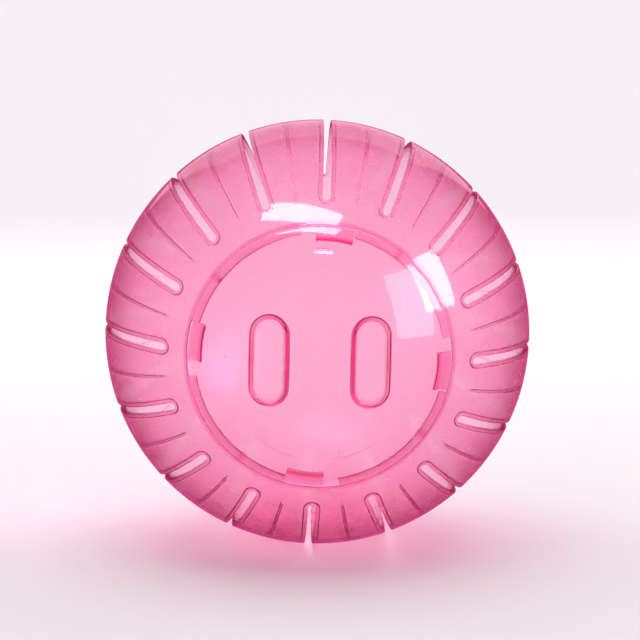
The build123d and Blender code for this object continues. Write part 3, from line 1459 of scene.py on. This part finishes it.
class MaterialShop:
    """Makes the materials of the scene.

    A texture takes effect between its LOW and HIGH values. Where the haze is high, the plastic's
    roughness is DULLER times what it is elsewhere.
    """

    WAVES = Texture(38.0, 2.0, bump=0.015, depth=0.0008)
    HAZE = Texture(95.0, 5.0)
    SCRATCHES = Texture(420.0, 3.0, bump=0.003, depth=0.00006, stretch=(0.16, 1.0, 2.4))
    GRAIN = Texture(2600.0, 2.0, bump=0.01, depth=0.00002)
    MOTTLE = Texture(3.0, 4.0)
    FIBRE = Texture(900.0, 3.0, bump=0.05, depth=0.0002)
    HAZE_LOW, HAZE_HIGH = 0.35, 0.75
    SCRATCH_LOW, SCRATCH_HIGH = 0.62, 0.78
    FIBRE_LOW, FIBRE_HIGH = 0.3, 0.7
    PAPER_SMOOTH, PAPER_ROUGH = 0.75, 0.9
    DULLER_POLISH = 2
    DULLER_MATT = 1.2
    SKIN_BLUR = 0.0002

    def plastic(self, look: PlasticLook, skin: float) -> Material:
        """Makes a clear tinted plastic: polished outside, finely matt inside, with waves and scratches.

        Args:
            look: colour and finish.
            skin: distance from the ball's centre in metres where the polished outside starts.

        Returns:
            The material.
        """
        material = bpy.data.materials.new(look.name)
        bench = NodeBench(material)
        waves, haze = bench.noise(self.WAVES), bench.noise(self.HAZE)
        scratches, grain = bench.noise(self.SCRATCHES), bench.noise(self.GRAIN)
        shader = bench.node("ShaderNodeBsdfPrincipled")
        shader.inputs["IOR"].default_value = look.ior
        shader.inputs["Transmission Weight"].default_value = 1.0
        clear, hazy = self.HAZE_LOW, self.HAZE_HIGH
        polished = bench.added(
            bench.ranged(haze, (clear, look.polish), (hazy, look.polish * self.DULLER_POLISH)),
            bench.ranged(scratches, (self.SCRATCH_LOW, 0.0), (self.SCRATCH_HIGH, look.polish)),
        )
        matt = bench.ranged(haze, (clear, look.matt), (hazy, look.matt * self.DULLER_MATT))
        outside = bench.ranged(bench.depth(), (skin - self.SKIN_BLUR, 0.0), (skin + self.SKIN_BLUR, 1.0))
        bench.link(bench.chosen(outside, matt, polished), shader.inputs["Roughness"])
        bench.link(bench.blended(waves, look.tint, look.tint_deep), shader.inputs["Base Color"])
        normal = bench.bumped(waves, self.WAVES)
        normal = bench.bumped(scratches, self.SCRATCHES, normal)
        normal = bench.bumped(grain, self.GRAIN, normal)
        bench.link(normal, shader.inputs["Normal"])
        bench.link(shader.outputs["BSDF"], bench.output.inputs["Surface"])
        depth = bench.node("ShaderNodeVolumeAbsorption")
        depth.inputs["Color"].default_value = (*look.absorbed, 1.0)
        depth.inputs["Density"].default_value = look.density
        bench.link(depth.outputs["Volume"], bench.output.inputs["Volume"])
        return material

    def paper(self, name: str, light: Colour, shade: Colour) -> Material:
        """Makes the matt paper of the floor.

        Args:
            name: name of the material.
            light: its lighter colour.
            shade: its darker colour.

        Returns:
            The material.
        """
        material = bpy.data.materials.new(name)
        bench = NodeBench(material)
        mottle, fibre = bench.noise(self.MOTTLE), bench.noise(self.FIBRE)
        shader = bench.node("ShaderNodeBsdfPrincipled")
        bench.link(bench.blended(mottle, light, shade), shader.inputs["Base Color"])
        low, high = (self.FIBRE_LOW, self.PAPER_SMOOTH), (self.FIBRE_HIGH, self.PAPER_ROUGH)
        bench.link(bench.ranged(fibre, low, high), shader.inputs["Roughness"])
        bench.link(bench.bumped(fibre, self.FIBRE), shader.inputs["Normal"])
        bench.link(shader.outputs["BSDF"], bench.output.inputs["Surface"])
        return material


@dataclass(frozen=True)
class Softbox:
    """A soft studio lamp, in metres; its place and aim are to the right, up and towards the camera."""

    name: str
    place: tuple[float, float, float]
    aim: tuple[float, float, float]
    width: float
    height: float
    power: float
    mirrored: bool


class Studio:
    """Floor, lamps and camera, in metres and degrees.

    The floor is a closed tent. Reflections don't see it, so they alone see the room around it.
    """

    AZIMUTH = -0.7
    ELEVATION = 8.1
    DISTANCE = 1.068
    LENS = 142.6
    SHIFT = (0.0041, 0.018)
    SOFTBOXES = (
        Softbox("key_softbox", (-0.105, 0.795, 0.41), (0.0, 0.0, 0.0), 0.56, 0.17, 8.0, True),
        Softbox("right_softbox", (0.756, 0.33, 0.35), (0.0, 0.0, 0.0), 0.3, 0.38, 9.0, True),
        Softbox("right_glow", (0.67, 0.2, 0.57), (0.0, 0.0, 0.0), 0.34, 0.5, 5.0, True),
        Softbox("overhead", (0.0, 1.7, 0.2), (0.0, 0.0, 0.2), 2.2, 2.2, 23.0, False),
        Softbox("back_card", (0.0, 0.85, -1.2), (0.0, 0.0, 0.0), 1.4, 0.9, 2.8, True),
        Softbox("backdrop_wash", (0.0, 1.3, -0.2), (0.0, 0.9, -2.2), 2.4, 0.5, 15.5, False),
    )
    ROOM_LIGHT = 0.62
    ROOM_COLOUR = (1.0, 0.08, 0.38, 1.0)
    PAPER_LIGHT = (0.86, 0.86, 0.87)
    PAPER_SHADE = (0.82, 0.82, 0.83)
    FLOOR_FLAT = 1.5
    FLOOR_SWEEP = 0.8
    FLOOR_COLUMNS = 72
    SWEEP_STEPS = 20
    DOME_STEPS = 12
    CLIP_START = 0.05

    def __init__(self, radius: float) -> None:
        """Works out the camera's directions.

        Args:
            radius: radius of the ball in metres, which stands on the floor.
        """
        self.radius = radius
        azimuth, elevation = math.radians(self.AZIMUTH), math.radians(self.ELEVATION)
        self.right = Vector((math.cos(azimuth), math.sin(azimuth), 0.0))
        self.back = Vector(
            (
                math.sin(azimuth) * math.cos(elevation),
                -math.cos(azimuth) * math.cos(elevation),
                math.sin(elevation),
            )
        )
        self.up = self.back.cross(self.right)

    def floor(self, material: Material) -> Piece:
        """Makes the round floor, which sweeps up on all sides into a white tent.

        Args:
            material: its material.

        Returns:
            The floor.
        """
        level, flat, sweep = -self.radius, self.FLOOR_FLAT, self.FLOOR_SWEEP
        line: list[Section] = [(flat * share, level) for share in (0.0, 0.25, 0.5, 1.0)]
        line += round_corner((flat, level + sweep), sweep, 270, 90, self.SWEEP_STEPS)[1:]
        line += round_corner((flat, level + sweep * 2), sweep, 0, 90, self.DOME_STEPS)
        line.append((0.0, level + sweep * 3))
        draft = MeshDraft()
        rows = []
        for column in range(self.FLOOR_COLUMNS):
            angle = math.tau * column / self.FLOOR_COLUMNS
            across, along = math.cos(angle) / MILLIMETRE, math.sin(angle) / MILLIMETRE
            rows.append(draft.row([Vector((r * across, r * along, z / MILLIMETRE)) for r, z in line]))
        draft.bridge(rows, closed=True)
        bowl = draft.build("floor_sweep")
        bowl.data.polygons.foreach_set("use_smooth", [True] * len(bowl.data.polygons))
        bowl.data.materials.append(material)
        bowl.visible_glossy = False
        return bowl

    def _seen(self, place: tuple[float, float, float]) -> Vector:
        """Turns a place as the camera sees it into the ball's frame.

        Args:
            place: distances to the right, up and towards the camera.

        Returns:
            The place in metres.
        """
        return self.right * place[0] + self.up * place[1] + self.back * place[2]

    def lamps(self) -> None:
        """Hangs the softboxes and sets the room's light."""
        for box in self.SOFTBOXES:
            light = bpy.data.lights.new(box.name, "AREA")
            light.shape = "RECTANGLE"
            light.size, light.size_y, light.energy = box.width, box.height, box.power
            lamp = bpy.data.objects.new(box.name, light)
            place, aim = self._seen(box.place), self._seen(box.aim)
            lamp.location = place
            lamp.rotation_euler = (place - aim).to_track_quat("Z", "Y").to_euler()
            lamp.visible_glossy = box.mirrored
            lamp.visible_diffuse = not box.mirrored
            bpy.context.scene.collection.objects.link(lamp)
        world = bpy.data.worlds.new("studio_room")
        world.use_nodes = True
        room = world.node_tree.nodes["Background"]
        room.inputs["Color"].default_value = self.ROOM_COLOUR
        room.inputs["Strength"].default_value = self.ROOM_LIGHT
        bpy.context.scene.world = world
        bpy.context.scene.view_settings.view_transform = "Standard"

    def camera(self) -> None:
        """Sets up the camera where the photograph was taken from."""
        lens = bpy.data.cameras.new("photo_camera")
        lens.lens = self.LENS
        lens.shift_x, lens.shift_y = self.SHIFT
        lens.clip_start = self.CLIP_START
        camera = bpy.data.objects.new("photo_camera", lens)
        camera.location = self.back * self.DISTANCE
        camera.rotation_euler = self.back.to_track_quat("Z", "Y").to_euler()
        bpy.context.scene.collection.objects.link(camera)
        bpy.context.scene.camera = camera


class HamsterBall:
    """The ball's three mouldings."""

    SHELL_LOOK = PlasticLook(
        "shell_plastic",
        absorbed=(0.985, 0.05, 0.5),
        density=262.0,
        tint=(1.0, 0.985, 0.985),
        tint_deep=(1.0, 0.965, 0.97),
        polish=0.03,
        matt=0.26,
    )
    DOOR_LOOK = replace(SHELL_LOOK, name="door_plastic", polish=0.025, matt=0.24)

    def __init__(self, sizes: BallSizes, fineness: Fineness) -> None:
        """Prepares the materials and the repeating tree.

        Args:
            sizes: sizes of the ball.
            fineness: steps of the meshes.
        """
        self.sizes = sizes
        self.fineness = fineness
        self.repeater = AxisRepeater()
        shop, skin = MaterialShop(), sizes.mid_wall * MILLIMETRE
        self.shell_plastic = shop.plastic(self.SHELL_LOOK, skin)
        self.door_plastic = shop.plastic(self.DOOR_LOOK, skin)

    def _slotted_wall(self, name: str, half: Half) -> Piece:
        """Makes the slotted wall of a half shell.

        Args:
            name: name of the piece.
            half: which half it is.

        Returns:
            The wall, open where its collar or cap goes.
        """
        wall = SlotSector(self.sizes, self.fineness, half).draft().build(name)
        self.repeater.repeat(wall, self.sizes.slot_count, self.sizes.slot_turn)
        return wall

    def front(self) -> Piece:
        """Makes the front half shell.

        Returns:
            The piece.
        """
        shell = self._slotted_wall("front_shell", Half.FRONT)
        Workshop.weld(shell, DoorCollar(self.sizes, self.fineness).draft().build("front_collar"))
        Workshop.finish(shell, self.shell_plastic)
        return shell

    def rear(self) -> Piece:
        """Makes the rear half shell.

        Returns:
            The piece.
        """
        shell = self._slotted_wall("rear_shell", Half.REAR)
        Workshop.weld(shell, PoleCap(self.sizes, self.fineness).draft().build("rear_cap"))
        tongue = RearTongue(self.sizes, self.fineness)
        tongues = tongue.draft().build("rear_tongues")
        self.repeater.repeat(tongues, self.sizes.tongue_count, tongue.first_azimuth())
        Workshop.combine(shell, tongues, "UNION")
        Workshop.finish(shell, self.shell_plastic)
        return shell

    def door(self) -> Piece:
        """Makes the door.

        Returns:
            The piece.
        """
        plan = TwistDoor(self.sizes, self.fineness)
        door = plan.dome().build("twist_door")
        hooks = plan.hook().build("door_hooks")
        self.repeater.repeat(hooks, self.sizes.lug_count, self.sizes.lug_turn)
        Workshop.combine(door, hooks, "UNION")
        for draft in plan.marks():
            Workshop.combine(door, draft.build("door_mark"), "UNION")
        Workshop.combine(door, plan.gate_ring().build("door_gate"), "DIFFERENCE")
        Workshop.finish(door, self.door_plastic)
        return door


def main() -> None:
    """Builds the scene."""
    logging.basicConfig(level=logging.INFO, format="%(name)s: %(message)s")
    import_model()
    low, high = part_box("front_half_shell")
    sizes = BallSizes(outer=(high.x - low.x) / 2 / MILLIMETRE)
    ball = HamsterBall(sizes, Fineness())
    front = ball.front()
    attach(front, "front_half")
    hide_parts("front_half_shell")
    rear = ball.rear()
    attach(rear, "rear_half")
    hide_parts("rear_half_shell")
    door = ball.door()
    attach(door, "door")
    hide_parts("door")
    studio = Studio(sizes.outer * MILLIMETRE)
    paper = MaterialShop().paper("floor_paper", studio.PAPER_LIGHT, studio.PAPER_SHADE)
    studio.floor(paper)
    studio.lamps()
    studio.camera()


if __name__ == "__main__":
    main()
